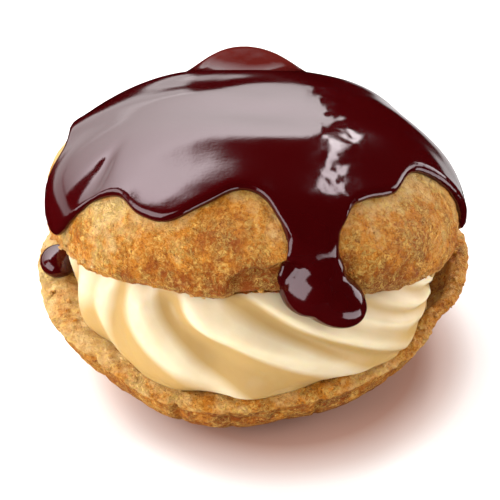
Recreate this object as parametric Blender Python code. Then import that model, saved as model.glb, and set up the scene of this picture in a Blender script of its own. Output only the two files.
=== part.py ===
"""Cream puff: a choux bun cut open, filled with piped custard cream and glazed with dark chocolate.

Metres, +Z up. The bun stands on the flat spot of its base, with the front of the lid towards -Y.
Azimuths are degrees round the upright axis: 0 at +X, 90 at the back, 180 at -X, -90 at the front.
"""
import math

import bmesh
import bpy
import numpy as np

MM = 0.001
TURN = 2 * math.pi
RIGHT_ANGLE = math.pi / 2

# Clearance kept between pieces that touch, and how many of it stand under the cream and the glaze
GAP = 0.3 * MM
CREAM_CLEARANCE = 1.5
GLAZE_CLEARANCE = 1.9
TONGUE_CLEARANCE = (2.4, 3.8)
SWELL_CLEARANCE = 0.06

# Where the upright axis of the bun stands in the part's frame
AXIS = np.array((0.24, 0.48, 0.0)) * MM

# Base: a shallow bowl with a broad torn rim
BASE_REACH = ((-168, 40.8), (-150, 39.9), (-141, 39.0), (-125, 39.3), (-113, 40.0), (-97, 38.9), (-78, 37.1),
              (-62, 36.4), (-46, 36.8), (-32, 36.2), (-15, 38.2), (-4, 40.2), (8, 40.5), (30, 39), (90, 37.5),
              (150, 39.5), (175, 40.6))
RIM_HEIGHT = ((-150, 15.5), (-120, 14.5), (-90, 14), (-60, 14), (-30, 14.5), (0, 16.5), (90, 16), (180, 16.5))
RIM_WIDTH = ((-180, 8.2), (-160, 7.8), (-120, 6), (-90, 6), (-45, 5.5), (-20, 4), (10, 4), (60, 5.5), (150, 7))
RIM_CROWN = 1.2 * MM
FLAT_SPOT = 12 * MM
BASE_ROUNDNESS = 2.05

# Undercut of the base's wall below its rim: depth, and how fast it starts under the rim and ends below
LEDGE = 0.7 * MM
LEDGE_START = 6
LEDGE_END = 2

# Inside of the bowl
BOWL_FLOOR = 5 * MM
BOWL_ROUNDNESS = 2.4

# Lid: a lumpy dome, tipped back on the cream
LID_CENTRE = np.array((0.0, -1.0, 30.5)) * MM
LID_TIP = math.radians(16.5)
LID_ROLL = math.radians(2.0)
LID_REACH = ((-160, 38.5), (-130, 38), (-90, 37.5), (-45, 38), (-20, 38.1), (5, 36.4), (40, 34.7), (90, 35),
             (135, 36.2), (165, 38))
LID_HEIGHT = 21.4 * MM
LID_SKIRT = ((-180, 9), (-150, 7), (-120, 4.5), (-103, 4.5), (-92, 2.2), (-78, 2.6), (-60, 5), (-30, 8), (0, 9),
             (45, 5), (90, 3), (135, 5))
LID_HOLLOW = 2.5 * MM
HOLLOW_SPREAD = 1.25
DOME_ROUNDNESS = 2.4
SKIRT_ROUNDNESS = 3.0
CREAM_TUCK = 0.88
LID_UNDER = math.pi - math.asin(CREAM_TUCK ** (SKIRT_ROUNDNESS / 2))

# Soft lumps of the baked skin: the shortest and longest waves as shares of the size, and where they fade
LUMP_SIZE = 15 * MM
LUMP_LENGTHS = (0.8, 1.5)
LUMP_HEIGHT = 0.22 * MM
LUMP_WAVES = 12
BASE_SEED = 5
BASE_LUMPS_START = 3
LID_SEED = 3
LID_LUMPS_START = math.radians(10)
LID_LUMPS_END = 2.6

# Swells of the lid: azimuth, angle from the crown, spread, height in mm
LID_SWELLS = ((98, 40, 8.5, 4.6), (-72, 86, 8, -2.0), (-98, 75, 12, 1.2), (-145, 75, 18, 0.8),
              (-35, 75, 16, 0.8), (22, 62, 20, -1.1))

# Cream: a ring piped with a star nozzle, bulging between the base and the lid
CREAM_SHOULDER = np.array((0, 0, 5)) * MM
BULGE_ABOVE = 0.6
BULGE_BELOW = 0.8
CREAM_REACH = ((-166, 33), (-149, 35.4), (-139, 34.2), (-120, 36.8), (-112, 36.8), (-103, 34.6), (-92, 36.2),
               (-81, 34.9), (-65, 33), (-55, 34.6), (-46, 35.4), (-35, 34), (-20, 33.2), (-5, 32.5), (15, 32.5),
               (40, 35), (60, 34.5), (90, 33), (130, 34.5), (160, 34), (178, 32.8))
CREAM_BULGE = ((-180, 0.8), (-150, 2.5), (-120, 5), (-90, 6), (-60, 6), (-35, 4), (-20, 0.6),
               (15, 0.3), (60, 2), (90, 3), (130, 2.5))
FLUTES = 19
FLUTE_DEPTH = 1.3 * MM
FLUTE_LEVEL = 0.6
FLUTE_FADE = 0.6
FLUTE_TWIST = math.radians(55)

# Glaze: a skin poured over the lid, thicker at its rounded edge
GLAZE_THICKNESS = 1.1 * MM
GLAZE_BEAD = 0.6 * MM
BEAD_SPREAD = 1.5
GLAZE_EDGE = 2.0 * MM
EDGE_CROWDING = 1.6
GLAZE_RADIUS = 33 * MM
GLAZE_REACH = ((-180, 58), (-166, 60), (-159, 74), (-154, 88), (-149, 80), (-143, 68), (-136, 62), (-127, 66),
               (-117, 66), (-107, 56), (-98, 48), (-90, 52), (-84, 66), (-78, 76), (-70, 76), (-64, 66),
               (-57, 57), (-45, 57), (-26, 55), (-19, 66), (-10, 84), (2, 100), (12, 92), (25, 68), (60, 65),
               (90, 72), (125, 64), (155, 66))

# Tongue of glaze that runs down between two lobes of the lid and onto the cream
TONGUE_AZIMUTH = (-76, -75, -74.5, -70)
TONGUE_HALF_WIDTH = (5, 5.2, 5.2, 8.6)
TONGUE_START = math.radians(50)
TONGUE_LEAVES = math.radians(88)
TONGUE_FALL = 10 * MM
TONGUE_THICKNESS = 2.2 * MM
TONGUE_ROOT = 0.5 * MM
ROOT_ROUNDING = 0.15
TIP_ROUNDING = 0.2
TONGUE_HELD = 0.55
TONGUE_DRIFT = np.array((0.0, -0.3, -0.95))

# Drop of chocolate on the rim at the left
DROP_CENTRE = np.array((-36.8, -1.4, 18.5)) * MM
DROP_SIZE = np.array((3.5, 4.0, 2.5)) * MM

# Columns of faces round each piece
BASE_COLUMNS = 72
LID_COLUMNS = 72
CREAM_COLUMNS = 6 * FLUTES
GLAZE_COLUMNS = 84
TONGUE_COLUMNS = 16
DROP_COLUMNS = 20


def around(knots, azimuth):
    """Smooth closed curve through (azimuth in degrees, value) knots, read at azimuths in radians."""
    at = np.radians([angle for angle, value in knots])
    to = np.array([value for angle, value in knots], float)
    at = np.concatenate((at[-2:] - TURN, at, at[:2] + TURN))
    to = np.concatenate((to[-2:], to, to[:2]))
    slope = np.gradient(to, at)
    where = np.mod(azimuth - at[2], TURN) + at[2]
    i = np.clip(np.searchsorted(at, where, side="right") - 1, 0, len(at) - 2)
    span = at[i + 1] - at[i]
    u = (where - at[i]) / span
    start = to[i] * (1 + 2 * u) * (1 - u) ** 2 + slope[i] * span * u * (1 - u) ** 2
    end = to[i + 1] * u ** 2 * (3 - 2 * u) + slope[i + 1] * span * u ** 2 * (u - 1)
    return start + end


def smooth(share):
    share = np.clip(share, 0, 1)
    return share * share * (3 - 2 * share)


def polar_point(azimuth, reach, height):
    return np.stack((reach * np.cos(azimuth), reach * np.sin(azimuth), height + 0 * azimuth), axis=-1)


def lumps(point, seed):
    """Soft unevenness of the baked dough: a sum of waves in seeded directions."""
    draw = np.random.default_rng(seed)
    total = np.zeros(point.shape[:-1])
    for wave in range(LUMP_WAVES):
        direction = draw.normal(size=3)
        direction /= np.linalg.norm(direction)
        length = LUMP_SIZE * draw.uniform(*LUMP_LENGTHS)
        total += np.sin(point @ direction * TURN / length + draw.uniform(0, TURN))
    return total * LUMP_HEIGHT / math.sqrt(LUMP_WAVES / 2)


def base_outer(azimuth, share):
    """Outer wall of the base, share 0 at the edge of the flat spot and 1 at the rim's outer edge."""
    reach = around(BASE_REACH, azimuth) * MM
    height = around(RIM_HEIGHT, azimuth) * MM
    angle = share * RIGHT_ANGLE
    out = FLAT_SPOT + (reach - FLAT_SPOT) * np.sin(angle) ** (2 / BASE_ROUNDNESS)
    out = out - LEDGE * smooth((1 - share) * LEDGE_START) * smooth(share * LEDGE_END)
    up = height * (1 - np.cos(angle) ** (2 / BASE_ROUNDNESS))
    wall = polar_point(azimuth, out, up)
    return wall + polar_point(azimuth, lumps(wall, BASE_SEED) * smooth(share * BASE_LUMPS_START), 0)


def base_rim(azimuth, share):
    """Top of the rim, share 0 at its outer edge and 1 at its inner edge."""
    reach = around(BASE_REACH, azimuth) * MM
    height = around(RIM_HEIGHT, azimuth) * MM
    edge = polar_point(azimuth, reach, height)
    unevenness = lumps(edge, BASE_SEED)
    width = around(RIM_WIDTH, azimuth) * MM + unevenness
    crown = RIM_CROWN * 4 * share * (1 - share)
    return polar_point(azimuth, reach + unevenness - share * width, height + crown)


def base_bowl(azimuth, share):
    """Inside of the bowl, share 0 at the rim's inner edge and 1 in the middle of its floor."""
    edge = base_rim(azimuth, 1.0)
    reach = np.hypot(edge[..., 0], edge[..., 1])
    angle = share * RIGHT_ANGLE
    out = reach * np.cos(angle) ** (2 / BOWL_ROUNDNESS)
    up = BOWL_FLOOR + (edge[..., 2] - BOWL_FLOOR) * (1 - np.sin(angle) ** (2 / BOWL_ROUNDNESS))
    return polar_point(azimuth, out, up)


def over_base(azimuth, share, down):
    """Where the cream lies on the base, a gap clear of it.

    share goes over the rim, 0 at the cream's foot and 1 at the rim's inner edge, and down goes on to the
    middle of the bowl. A foot that falls short of the rim starts as far down the bowl's wall as it reaches.
    """
    reach, foot, width = around(BASE_REACH, azimuth), around(CREAM_REACH, azimuth), around(RIM_WIDTH, azimuth)
    start = np.clip((reach - foot) / width, 0, 1)
    short = np.clip(foot / (reach - width), 0, 1) ** (BOWL_ROUNDNESS / 2)
    sunk = np.arccos(short) / RIGHT_ANGLE
    on_rim = base_rim(azimuth, start + (1 - start) * share)
    in_bowl = base_bowl(azimuth, sunk + (1 - sunk) * down)
    point = np.where(((down > 0) | (sunk > 0))[..., None], in_bowl, on_rim)
    inwards = np.where(sunk > 0, 2.0, share) * (1 - down)
    return point + polar_point(azimuth, -GAP * CREAM_CLEARANCE * inwards, GAP * CREAM_CLEARANCE)


def lid_to_part(point):
    """Takes a point of the lid's own frame to the part's: tipped back, rolled, and set on the cream."""
    tip, roll = LID_TIP, LID_ROLL
    x, y, z = point[..., 0], point[..., 1], point[..., 2]
    y, z = y * math.cos(tip) + z * math.sin(tip), z * math.cos(tip) - y * math.sin(tip)
    x, z = x * math.cos(roll) + z * math.sin(roll), z * math.cos(roll) - x * math.sin(roll)
    return np.stack((x, y, z), axis=-1) + LID_CENTRE


def lid_swell(azimuth, polar):
    """Height of the swells and valleys over the lid."""
    total = 0 * azimuth
    for at, down, spread, height in LID_SWELLS:
        at, down, spread = math.radians(at), math.radians(down), math.radians(spread)
        cosine = np.cos(polar) * math.cos(down) + np.sin(polar) * math.sin(down) * np.cos(azimuth - at)
        away = np.arccos(np.clip(cosine, -1, 1))
        total = total + height * MM * np.exp(-(away / spread) ** 2 / 2)
    return total


def lid_local(azimuth, polar):
    """Lid in its own frame, polar 0 at the crown, 90 degrees at its widest, 180 under its middle."""
    azimuth, polar = np.broadcast_arrays(azimuth, polar)
    reach = around(LID_REACH, azimuth) * MM
    skirt = around(LID_SKIRT, azimuth) * MM
    above = polar <= RIGHT_ANGLE
    power = 2 / np.where(above, DOME_ROUNDNESS, SKIRT_ROUNDNESS)
    across = np.abs(np.sin(polar)) ** power
    upright = np.abs(np.cos(polar)) ** power
    depth = LID_HOLLOW + (skirt - LID_HOLLOW) * smooth(across * HOLLOW_SPREAD)
    height = np.where(above, LID_HEIGHT * upright, -depth * upright)
    point = polar_point(azimuth, reach * across, height)
    outward = point / np.maximum(np.linalg.norm(point, axis=-1, keepdims=True), 1e-9)
    rise = lid_swell(azimuth, polar) + lumps(point, LID_SEED) * smooth(polar / LID_LUMPS_START)
    return point + outward * (rise * smooth(LID_LUMPS_END - polar / RIGHT_ANGLE))[..., None]


def lid_surface(azimuth, polar):
    return lid_to_part(lid_local(azimuth, polar))


def lid_normal(azimuth, polar):
    """Outward direction of the lid's skin, from its slopes along both angles."""
    step = math.radians(0.5)
    polar = np.maximum(polar, step * 2)
    along = lid_surface(azimuth, polar + step) - lid_surface(azimuth, polar - step)
    round_it = lid_surface(azimuth + step, polar) - lid_surface(azimuth - step, polar)
    normal = np.cross(along, round_it)
    return normal / np.linalg.norm(normal, axis=-1, keepdims=True)


def under_lid(azimuth, share):
    """Underside of the lid, share 0 in its middle and 1 where the side of the cream starts."""
    return lid_local(azimuth, math.pi - (math.pi - LID_UNDER) * share)


def cream_top(azimuth, share):
    """Where the cream meets the underside of the lid, a gap clear of it."""
    return lid_to_part(under_lid(azimuth, share) - np.array((0, 0, GAP)))


def cream_side(column, share):
    """Fluted side of the cream, share 0 under the lid and 1 on the rim of the base."""
    azimuth = column + FLUTE_TWIST * (share - 0.5)
    top = cream_top(azimuth, 1.0)
    foot = over_base(azimuth, 0 * azimuth, 0 * azimuth)
    out = polar_point(azimuth, 1.0 + 0 * azimuth, 0 * azimuth)
    bulge = around(CREAM_BULGE, azimuth)[..., None] * MM
    first = top + out * bulge * BULGE_ABOVE - CREAM_SHOULDER
    second = foot + out * bulge * BULGE_BELOW + CREAM_SHOULDER
    share = share[..., None]
    curve = (top * (1 - share) ** 3 + 3 * first * share * (1 - share) ** 2
             + 3 * second * share ** 2 * (1 - share) + foot * share ** 3)
    flute = FLUTE_DEPTH * (np.abs(np.cos(FLUTES * column / 2)) - FLUTE_LEVEL)
    return curve + out * (flute[..., None] * np.sin(np.pi * share) ** FLUTE_FADE)


def glaze_outside(azimuth, share):
    """Upper side of the glaze, share 0 at the crown and 1 at its edge, with closer steps near the edge."""
    edge = np.radians(around(GLAZE_REACH, azimuth))
    polar = edge * (1 - (1 - share) ** EDGE_CROWDING)
    from_edge = (edge - polar) * GLAZE_RADIUS
    fill = np.clip(from_edge / GLAZE_EDGE, 0, 1)
    bead = GLAZE_BEAD * np.exp(-from_edge / (GLAZE_EDGE * BEAD_SPREAD))
    thick = (GLAZE_THICKNESS + bead) * np.sqrt(1 - (1 - fill) ** 2)
    return glaze_point(azimuth, polar, thick)


def glaze_inside(azimuth, share):
    return glaze_point(azimuth, np.radians(around(GLAZE_REACH, azimuth)) * (1 - share), 0)


def glaze_point(azimuth, polar, thick):
    """Point over the lid's skin, the gap and a thickness clear of it, and more over the steep swells."""
    lift = GAP * GLAZE_CLEARANCE + thick + lid_swell(azimuth, polar).clip(0) * SWELL_CLEARANCE
    return lid_surface(azimuth, polar) + lid_normal(azimuth, polar) * lift[..., None]


def tongue_shape(azimuth, share):
    """Tongue from its root to its tip: flat towards the lid, round outside, and falling free past the edge."""
    length = np.linspace(0, 1, len(TONGUE_AZIMUTH))
    middle = np.radians(np.interp(share, length, TONGUE_AZIMUTH))
    tip = np.sqrt(1 - np.clip(1 - (1 - share) / TIP_ROUNDING, 0, 1) ** 2)
    root = np.sqrt(np.clip(share / ROOT_ROUNDING, 0, 1))
    half = np.interp(share, length, TONGUE_HALF_WIDTH) * MM * tip * root
    polar = TONGUE_START + (TONGUE_LEAVES - TONGUE_START) * np.clip(share / TONGUE_HELD, 0, 1)
    fall = TONGUE_FALL * np.clip((share - TONGUE_HELD) / (1 - TONGUE_HELD), 0, 1)
    at = middle + half * np.cos(azimuth) / (around(LID_REACH, middle) * MM)
    growth = TONGUE_ROOT + (TONGUE_THICKNESS - TONGUE_ROOT) * smooth(share / TONGUE_HELD)
    thick = growth * tip * root * np.clip(np.sin(azimuth), 0, 1)
    clear = GAP * np.interp(share, (0, TONGUE_HELD), TONGUE_CLEARANCE)
    point = lid_surface(at, polar) + lid_normal(at, polar) * (clear + thick)[..., None]
    return point + TONGUE_DRIFT * fall[..., None]


def drop_shape(azimuth, share):
    """Drop with its underside lying on the rim."""
    polar = share * math.pi
    point = polar_point(azimuth, np.sin(polar), np.cos(polar)) * DROP_SIZE + DROP_CENTRE
    at = np.arctan2(point[:, 1], point[:, 0])
    outer, inner = base_rim(at, 0.0), base_rim(at, 1.0)
    outer_reach, inner_reach = np.hypot(outer[:, 0], outer[:, 1]), np.hypot(inner[:, 0], inner[:, 1])
    inwards = (outer_reach - np.hypot(point[:, 0], point[:, 1])) / (outer_reach - inner_reach)
    under = base_rim(at, np.clip(inwards, 0, 1))[:, 2] + GAP
    point[:, 2] = np.maximum(point[:, 2], under)
    return point


# Each piece as stretches from the top of its middle to the bottom: rows of faces, and their points
BASE = ((5, lambda azimuth, share: base_bowl(azimuth, 1 - share)),
        (4, lambda azimuth, share: base_rim(azimuth, 1 - share)),
        (7, lambda azimuth, share: base_outer(azimuth, 1 - share)),
        (1, lambda azimuth, share: polar_point(azimuth, FLAT_SPOT * (1 - share), 0)))
LID = ((13, lambda azimuth, share: lid_surface(azimuth, RIGHT_ANGLE * share)),
       (3, lambda azimuth, share: lid_surface(azimuth, RIGHT_ANGLE + (LID_UNDER - RIGHT_ANGLE) * share)),
       (4, lambda azimuth, share: lid_to_part(under_lid(azimuth, 1 - share))))
CREAM = ((4, lambda column, share: cream_top(column - FLUTE_TWIST / 2, share)),
         (7, cream_side),
         (2, lambda column, share: over_base(column + FLUTE_TWIST / 2, share, 0 * share)),
         (5, lambda column, share: over_base(column + FLUTE_TWIST / 2, 1 + 0 * share, share)))
GLAZE = ((13, glaze_outside), (10, glaze_inside))
TONGUE = ((14, tongue_shape),)
DROP = ((10, drop_shape),)


def ball(columns, rows):
    """A round ball of radius 1 in a bmesh, to be pressed into a piece."""
    mesh = bmesh.new()
    bmesh.ops.create_uvsphere(mesh, u_segments=columns, v_segments=rows, radius=1)
    return mesh


def press(mesh, stretches):
    """Moves the rows of a ball, from its top pole to its bottom one, onto a piece's stretches."""
    verts = list(mesh.verts)
    points = np.array([vert.co for vert in verts])
    azimuth = np.arctan2(points[:, 1], points[:, 0])
    row = np.arccos(np.clip(points[:, 2], -1, 1)) / math.pi * sum(rows for rows, run in stretches)
    row = np.round(row)
    start = 0
    for rows, run in stretches:
        here = (row >= start) & (row <= start + rows)
        places = run(azimuth[here], (row[here] - start) / rows) + AXIS
        for index, place in zip(np.nonzero(here)[0], places):
            verts[index].co = place
        start += rows


def material(name, colour, roughness):
    made = bpy.data.materials.new(name)
    made.use_nodes = True
    shader = made.node_tree.nodes["Principled BSDF"]
    shader.inputs["Base Color"].default_value = (*colour, 1)
    shader.inputs["Roughness"].default_value = roughness
    shader.inputs["Metallic"].default_value = 0
    made.diffuse_color = (*colour, 1)
    return made


def piece(name, columns, stretches, finish):
    """One closed solid, pressed from a ball and shaded smooth."""
    solid = ball(columns, sum(rows for rows, run in stretches))
    press(solid, stretches)
    mesh = bpy.data.meshes.new(name)
    solid.to_mesh(mesh)
    solid.free()
    mesh.shade_smooth()
    mesh.materials.append(finish)
    made = bpy.data.objects.new(name, mesh)
    bpy.context.scene.collection.objects.link(made)
    return made


def join(whole, extra):
    """Makes one body of two that overlap, and removes the second."""
    union = whole.modifiers.new("join", "BOOLEAN")
    union.operation = "UNION"
    union.object = extra
    bpy.context.view_layer.objects.active = whole
    bpy.ops.object.modifier_apply(modifier=union.name)
    bpy.data.objects.remove(extra)


for old in list(bpy.data.objects):
    bpy.data.objects.remove(old)

choux = material("choux", (0.58, 0.29, 0.09), 0.75)
custard = material("custard", (0.84, 0.66, 0.36), 0.45)
chocolate = material("chocolate", (0.06, 0.005, 0.004), 0.12)

piece("choux_base", BASE_COLUMNS, BASE, choux)
piece("custard_cream", CREAM_COLUMNS, CREAM, custard)
piece("choux_lid", LID_COLUMNS, LID, choux)
glaze = piece("chocolate_glaze", GLAZE_COLUMNS, GLAZE, chocolate)
join(glaze, piece("tongue", TONGUE_COLUMNS, TONGUE, chocolate))
piece("chocolate_drop", DROP_COLUMNS, DROP, chocolate)
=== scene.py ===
"""Looks of the cream puff: crust, piped cream and poured chocolate round the fixed model, on a pale floor.

Metres, +Z up, the front of the bun towards -Y. Azimuths are degrees round the upright axis: 0 at +X, 90 at
the back, 180 at -X, -90 at the front. Outlines are lists of (azimuth, value) round that axis, the values in
millimetres or, on the lid and the glaze, in degrees from the lid's crown.
"""
import math

import bpy
import numpy as np
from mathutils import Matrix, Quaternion, Vector


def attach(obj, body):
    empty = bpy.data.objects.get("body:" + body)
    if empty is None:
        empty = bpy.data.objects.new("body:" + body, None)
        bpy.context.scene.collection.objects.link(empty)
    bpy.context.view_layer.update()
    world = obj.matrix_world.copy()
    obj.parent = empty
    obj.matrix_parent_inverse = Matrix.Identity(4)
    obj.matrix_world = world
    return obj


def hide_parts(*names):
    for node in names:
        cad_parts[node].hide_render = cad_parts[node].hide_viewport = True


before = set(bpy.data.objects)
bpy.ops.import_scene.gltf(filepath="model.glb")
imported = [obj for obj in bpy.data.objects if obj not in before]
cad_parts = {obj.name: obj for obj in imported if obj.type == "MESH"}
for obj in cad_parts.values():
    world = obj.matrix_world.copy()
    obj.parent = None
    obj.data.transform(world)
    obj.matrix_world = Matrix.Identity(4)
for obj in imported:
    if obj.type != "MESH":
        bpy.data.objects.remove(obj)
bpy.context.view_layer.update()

bl_info = {
    "name": "Cream Puff",
    "version": (1, 0, 0),
    "blender": (4, 5, 0),
    "location": "View3D > Sidebar > Cream Puff",
    "description": "Dresses the cream puff with crust, piped cream and poured chocolate",
    "category": "Object",
}

MM = 0.001
TURN = 2 * math.pi
RIGHT_ANGLE = math.pi / 2
TINY = 1e-9
SEAM = 0.001 * MM

# Faces round each piece
BASE_COLUMNS = 500
CREAM_COLUMNS = 600
LID_COLUMNS = 440
GLAZE_COLUMNS = 360
TONGUE_COLUMNS = 64
BULB_COLUMNS = 64
DROP_COLUMNS = 72

# Where the upright axis of the bun stands
AXIS = np.array((0.24, 0.48, 0.0)) * MM

# Base: a shallow bowl with a broad torn rim
BASE_REACH = ((-168, 40.8), (-150, 39.9), (-141, 39.0), (-125, 39.3), (-113, 40.0), (-97, 38.9), (-78, 37.1),
              (-62, 36.3), (-46, 36.8), (-32, 36.9), (-23, 36.9), (-14, 39.2), (-4, 40.3), (8, 40.5),
              (30, 39), (90, 37.5), (150, 39.5), (175, 40.6))
RIM_HEIGHT = ((-150, 15.5), (-120, 14.5), (-90, 14), (-60, 14), (-30, 14.5), (0, 16.5), (90, 16), (180, 16.5))
RIM_WIDTH = ((-180, 8.2), (-160, 7.8), (-120, 6), (-90, 6), (-45, 5.5), (-20, 4), (10, 4), (60, 5.5),
             (150, 7))
RIM_CROWN = 1.2 * MM
FLAT_SPOT = 12 * MM
BASE_ROUNDNESS = 2.05

# Hollows and pits in the base's wall: azimuth, height in mm, spread round and upwards, depth in mm
BASE_HOLLOWS = ((-13, 8, 11, 4.5, 3.0), (-99, 11.2, 1.8, 0.8, 1.1), (-92.5, 10.6, 2.2, 0.8, 1.2),
                (-84, 10.8, 1.5, 0.6, 0.8), (-66, 11.2, 3.2, 0.5, 0.7), (-58, 11.8, 2.5, 0.5, 0.7))

# Nicks torn into the rim: azimuth, spread round, depth in mm
RIM_NICKS = ((-112, 0.7, 1.2), (-140.5, 1.2, 1.0), (-97, 0.8, 0.5), (-71, 0.6, 0.6), (-43, 0.9, 0.7))

# Ledge under the rim: its depth, and how fast it starts below the rim and ends above the foot
LEDGE = 0.9 * MM
LEDGE_START = 16
LEDGE_END = 2

# Inside of the bowl
BOWL_FLOOR = 5 * MM
BOWL_ROUNDNESS = 2.4

# Lid: a lumpy dome, tipped back on the cream
LID_CENTRE = np.array((0.0, -1.0, 30.5)) * MM
LID_TIP = math.radians(16.5)
LID_ROLL = math.radians(2.0)
LID_REACH = ((-160, 38.0), (-130, 38), (-90, 37.5), (-45, 38), (-20, 38.1), (5, 36.4), (40, 34.7), (90, 35),
             (135, 36.2), (165, 37.3))
LID_HEIGHT = 21.4 * MM
LID_SKIRT = ((-180, 9), (-150, 7), (-120, 4.5), (-103, 4.5), (-92, 2.2), (-78, 2.6), (-60, 5), (-30, 8),
             (0, 9), (45, 5), (90, 3), (135, 5))
LID_HOLLOW = 2.5 * MM
HOLLOW_SPREAD = 1.25
DOME_ROUNDNESS = 2.4
SKIRT_ROUNDNESS = 3.0
CREAM_TUCK = 0.88
LID_UNDER = math.pi - math.asin(CREAM_TUCK ** (SKIRT_ROUNDNESS / 2))
NORMAL_STEP = math.radians(0.5)

# Soft lumps of the baked skin
LUMP_SIZE = 15 * MM
LUMP_LENGTHS = (0.8, 1.5)
LUMP_HEIGHT = 0.22 * MM
LUMP_WAVES = 12
BASE_SEED = 5
BASE_LUMPS_START = 3
LID_SEED = 3
LID_LUMPS_START = math.radians(10)
LID_LUMPS_END = 2.6

# Swells of the lid: azimuth, angle from the crown, spread, height in mm
LID_SWELLS = ((99, 50, 7.5, 5.2), (85, 49, 7, 3.6), (97, 32, 7, -2.8), (95, 14, 14, 0.9), (-72, 86, 8, -2.0),
              (-98, 75, 12, 1.2), (-145, 75, 18, 0.8), (-35, 75, 16, 0.8), (22, 62, 20, -1.1),
              (45, 48, 13, 1.1), (172, 80, 14, 1.2))

# Hollow broken out of the lid below its middle lobe: the azimuths of its ends, its upper edge and its foot
# in degrees from the crown, its depth, and the degrees over which it starts and ends
BREAK_ENDS = (-99, -75)
BREAK_TOP = ((-100, 88), (-97, 84.5), (-93, 80.5), (-88, 80), (-84, 78), (-80, 76), (-74, 76))
BREAK_FOOT = 120
BREAK_DEPTH = 2.2 * MM
BREAK_EDGE = 2.5
BREAK_FOOT_EDGE = 10

# Where the lid's edge is torn, in degrees from its crown, and how softly that starts and ends
TEAR_START = 74
TEAR_END = 125
TEAR_EDGE = 10

# Rows of the base's sheet over which its torn rim starts on the inside, ends on the outside, and runs on
RIM_TEAR_STARTS = 6
RIM_TEAR_ENDS = 4
RIM_FADE = 3

# Cream: a ring piped with a star nozzle, bulging between the base and the lid
CREAM_SHOULDER = np.array((0, 0, 5)) * MM
BULGE_ABOVE = 0.9
BULGE_BELOW = 0.7
CREAM_REACH = ((-166, 33), (-149, 35.4), (-139, 34.2), (-120, 36.8), (-112, 36.8), (-103, 34.6), (-92, 36.2),
               (-81, 34.9), (-65, 33), (-55, 34.6), (-46, 35.4), (-35, 34), (-20, 33.2), (-5, 32.5),
               (15, 32.5), (40, 35), (60, 34.5), (90, 33), (130, 34.5), (160, 34), (178, 32.8))
CREAM_BULGE = ((-180, 0.8), (-150, 2.5), (-120, 5), (-90, 6), (-60, 6), (-35, 4), (-20, 0.6),
               (15, 0.3), (60, 2), (90, 3), (130, 2.5))

# Crests and grooves of the cream from the left round the front: their height in mm, and their azimuths at
# five levels from the lid down to the rim. Those at the back follow evenly
RIDGE_LEVELS = (0, 0.25, 0.5, 0.75, 1)
RIDGES = ((0.6, (-157, -155, -153, -151, -148)), (-0.1, (-148, -147, -145, -143, -141)),
          (0.9, (-140, -140, -139.5, -137, -132)), (-0.9, (-134, -134, -133, -126, -118)),
          (1.7, (-127, -123.5, -115, -102, -94)), (-1.6, (-119, -114.5, -100, -86, -80)),
          (1.9, (-109, -102, -80, -66, -58)), (-1.0, (-99, -86, -67, -52, -42)),
          (1.0, (-92, -76, -57, -43, -30)), (-0.1, (-82, -66, -46, -33, -21)),
          (0.5, (-72, -56, -36, -23, -11)))
BACK_LINES = 25
BACK_HEIGHTS = (-0.5, 0.8)
# Painted shade in the cream's grooves: the ridge height in mm below which it starts, and over how many mm it
# deepens fully
HOLLOW_CREST = 0.9
HOLLOW_RANGE = 2.0
RIDGES_START = 5
RIDGES_END = 10
RIDGES_FADE = 0.5

# Painted shade of the cream towards its foot: how much, and where it starts and over what share of the side
FOOT_SHADE = 0.65
FOOT_SHADE_START = 0.3
FOOT_SHADE_SPREAD = 0.5

# Glaze: a skin poured over the lid, thicker at its rounded edge
GLAZE_THICKNESS = 1.6 * MM
GLAZE_SUNK = 0.7 * MM
GLAZE_SINKS = 12
GLAZE_BEAD = 0.45 * MM
BEAD_SPREAD = 1.5
BEAD_GAP = (-75, 10)
GLAZE_EDGE = 1.5 * MM
EDGE_CROWDING = 1.6
GLAZE_RADIUS = 33 * MM
GLAZE_REACH = ((-180, 62), (-173, 66), (-167, 77), (-161, 88), (-155, 89), (-149, 80), (-143, 68), (-136, 62),
               (-127, 66), (-117, 66), (-107, 56), (-98, 48), (-92, 48.5), (-87, 54), (-84, 62), (-80, 71),
               (-75, 73), (-70, 71), (-65.5, 65), (-61, 58), (-55, 56), (-45, 57), (-26, 55), (-19, 66),
               (-10, 84), (2, 100), (12, 92), (25, 68), (60, 65), (90, 72), (125, 64), (155, 66))
GLAZE_VOXEL = 0.42 * MM
GLAZE_SMOOTHING = 16

# Groove in the glaze at the left, by angle from the crown: its azimuth, spread in degrees and depth in mm
GROOVE_ENDS = (40, 70)
GROOVE_LINE = ((40, -151.5), (50, -148.5), (60, -146.5), (70, -146))
GROOVE_SPREAD = ((40, 1.0), (50, 2.0), (60, 3.2), (70, 3.6))
GROOVE_DEPTH = ((40, 0), (46, 0.4), (52, 0.95), (60, 1.05), (70, 0.7))

# Tongue of glaze that runs down between two lobes of the lid and swells where it lies on the cream: the
# azimuths of its two edges and their ways down from its root in mm, then its thickness in mm, all by share
TONGUE_LEFT = ((0, -81), (0.1, -83), (0.2, -84), (0.36, -82.7), (0.5, -82.7), (0.64, -83.8), (0.76, -85.3),
               (0.84, -83.4), (0.89, -80), (0.95, -73.5), (1, -67))
LEFT_DOWN = ((0, 0), (0.2, 5), (0.36, 10.7), (0.5, 14), (0.64, 17.8), (0.76, 22.3), (0.84, 25.3), (0.89, 28),
             (0.95, 31.6), (1, 33.6))
TONGUE_RIGHT = ((0, -70), (0.1, -67), (0.2, -65), (0.36, -66.8), (0.5, -67.1), (0.64, -65.9), (0.76, -63.4),
                (0.84, -61), (0.89, -59.8), (0.95, -60), (1, -65))
RIGHT_DOWN = ((0, 0), (0.2, 5), (0.36, 10.7), (0.5, 14), (0.64, 18.2), (0.76, 23), (0.84, 27.4), (0.89, 30),
              (0.95, 32.4), (1, 33.6))
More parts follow.
